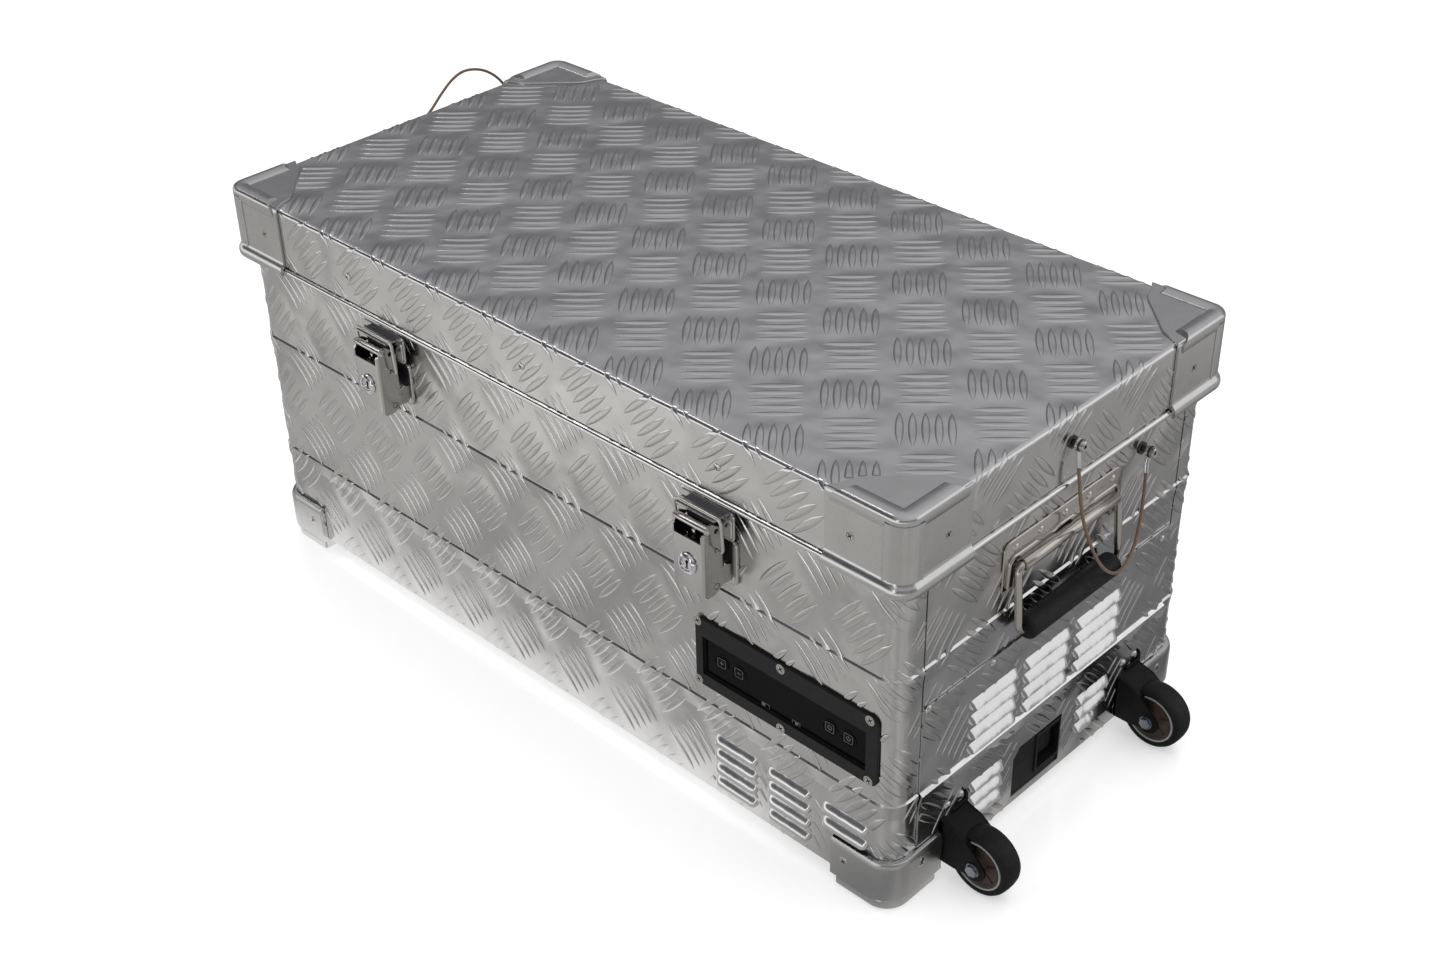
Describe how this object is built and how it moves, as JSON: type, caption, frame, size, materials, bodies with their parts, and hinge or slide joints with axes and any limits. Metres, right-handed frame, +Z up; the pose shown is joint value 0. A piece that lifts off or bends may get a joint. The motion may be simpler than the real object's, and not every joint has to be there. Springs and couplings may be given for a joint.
{
  "type": "portable refrigerator trunk",
  "caption": "Checker-plate aluminium trunk with a hinged insulated lid, locking toggle latches, drop handles, end castors, basket-lined cold zones and a flush control panel.",
  "frame": {"origin": "on the floor, midway between the trunk's ends and midway between its front and rear walls", "axes": "+X towards the end with the castors, -Y towards the front with the latches and the control panel, +Z up"},
  "size_m": [0.9104, 0.449, 0.3873],
  "materials": {
    "tread_plate": "satin",
    "cast_aluminium": "polished",
    "extruded_aluminium": "satin",
    "steel": "polished",
    "stainless": "satin",
    "black_plastic": "matte",
    "window": "gloss",
    "black_steel": "satin",
    "rubber": "matte",
    "hub_brown": "satin",
    "liner": "satin",
    "foam": "matte",
    "wire_rope": "satin"
  },
  "bodies": {
    "case": {"basket_large": "steel", "basket_small": "steel", "bay_bulkhead": "extruded_aluminium", "body_rim": "extruded_aluminium", "castor_bracket_front": "black_steel", "castor_bracket_rear": "black_steel", "compressor": "black_steel", "condenser": "extruded_aluminium", "fan_frame": "black_plastic", "foot_casting_front_left": "cast_aluminium", "foot_casting_front_right": "cast_aluminium", "foot_casting_rear_left": "cast_aluminium", "foot_casting_rear_right": "cast_aluminium", "handle_plate_left": "stainless", "handle_plate_right": "stainless", "hinge_case_leaf_left": "steel", "hinge_case_leaf_right": "steel", "inlet_plate": "black_plastic", "insulation": "foam", "latch_base_left": "steel", "latch_base_right": "steel", "lid_stay_left": "wire_rope", "lid_stay_right": "wire_rope", "liner_tub": "liner", "outer_shell": "tread_plate", "panel_bezel": "black_plastic", "panel_window": "window", "power_module": "extruded_aluminium", "service_cover": "tread_plate"},
    "lid": {"lid_skin": "tread_plate", "lid_rim": "extruded_aluminium", "lid_liner": "liner", "lid_gasket": "rubber", "lid_casting_front_left": "cast_aluminium", "lid_casting_front_right": "cast_aluminium", "lid_casting_rear_left": "cast_aluminium", "lid_casting_rear_right": "cast_aluminium", "hinge_lid_leaf_left": "steel", "hinge_lid_leaf_right": "steel", "latch_keeper_left": "steel", "latch_keeper_right": "steel"},
    "lever_left": {"latch_lever_left": "steel"},
    "bail_left": {"latch_bail_left": "steel"},
    "lock_left": {"lock_barrel_left": "steel"},
    "handle_left": {"handle_bail_left": "stainless", "handle_grip_left": "rubber"},
    "lever_right": {"latch_lever_right": "steel"},
    "bail_right": {"latch_bail_right": "steel"},
    "lock_right": {"lock_barrel_right": "steel"},
    "handle_right": {"handle_bail_right": "stainless", "handle_grip_right": "rubber"},
    "wheel_front": {"wheel_tyre_front": "rubber", "wheel_hub_front": "hub_brown"},
    "wheel_rear": {"wheel_tyre_rear": "rubber", "wheel_hub_rear": "hub_brown"},
    "key_plus": {"button_plus": "window"},
    "key_minus": {"button_minus": "window"},
    "key_settings": {"button_settings": "window"},
    "key_power": {"button_power": "window"},
    "fan": {"fan_rotor": "black_plastic"}
  },
  "joints": [
    {"name": "lid_hinge", "type": "hinge", "parent": "case", "child": "lid", "pos_m": [0, 0.2155, 0.317], "axis": [-1, 0, 0], "range_deg": [0, 90], "deforming": ["lid_stay_left", "lid_stay_right"]},
    {"name": "latch_lever_left", "type": "hinge", "parent": "case", "child": "lever_left", "pos_m": [-0.185, -0.212, 0.248], "axis": [1, 0, 0], "range_deg": [0, 130]},
    {"name": "latch_bail_left", "type": "hinge", "parent": "lever_left", "child": "bail_left", "pos_m": [-0.185, -0.212, 0.282], "axis": [1, 0, 0], "range_deg": [0, 75]},
    {"name": "lock_left", "type": "hinge", "parent": "lever_left", "child": "lock_left", "pos_m": [-0.185, -0.228, 0.2694], "axis": [0, 1, 0], "range_deg": [0, 90]},
    {"name": "latch_lever_right", "type": "hinge", "parent": "case", "child": "lever_right", "pos_m": [0.21, -0.212, 0.248], "axis": [1, 0, 0], "range_deg": [0, 130]},
    {"name": "latch_bail_right", "type": "hinge", "parent": "lever_right", "child": "bail_right", "pos_m": [0.21, -0.212, 0.282], "axis": [1, 0, 0], "range_deg": [0, 75]},
    {"name": "lock_right", "type": "hinge", "parent": "lever_right", "child": "lock_right", "pos_m": [0.21, -0.228, 0.2694], "axis": [0, 1, 0], "range_deg": [0, 90]},
    {"name": "handle_right", "type": "hinge", "parent": "case", "child": "handle_right", "pos_m": [0.4015, 0, 0.274], "axis": [0, -1, 0], "range_deg": [0, 90], "deforming": ["lid_stay_right"]},
    {"name": "handle_left", "type": "hinge", "parent": "case", "child": "handle_left", "pos_m": [-0.4015, 0, 0.274], "axis": [0, 1, 0], "range_deg": [0, 90], "deforming": ["lid_stay_left"]},
    {"name": "wheel_front", "type": "hinge", "parent": "case", "child": "wheel_front", "pos_m": [0.43, -0.121, 0.0298], "axis": [0, 1, 0], "continuous": true},
    {"name": "wheel_rear", "type": "hinge", "parent": "case", "child": "wheel_rear", "pos_m": [0.43, 0.121, 0.0298], "axis": [0, 1, 0], "continuous": true},
    {"name": "press_plus", "type": "slide", "parent": "case", "child": "key_plus", "axis": [0, 1, 0], "range_m": [0, 0.001], "stiffness_N_per_m": 300},
    {"name": "press_minus", "type": "slide", "parent": "case", "child": "key_minus", "axis": [0, 1, 0], "range_m": [0, 0.001], "stiffness_N_per_m": 300},
    {"name": "press_settings", "type": "slide", "parent": "case", "child": "key_settings", "axis": [0, 1, 0], "range_m": [0, 0.001], "stiffness_N_per_m": 300},
    {"name": "press_power", "type": "slide", "parent": "case", "child": "key_power", "axis": [0, 1, 0], "range_m": [0, 0.001], "stiffness_N_per_m": 300},
    {"name": "fan_spin", "type": "hinge", "parent": "case", "child": "fan", "pos_m": [0.338, 0, 0.136], "axis": [1, 0, 0], "continuous": true}
  ]
}
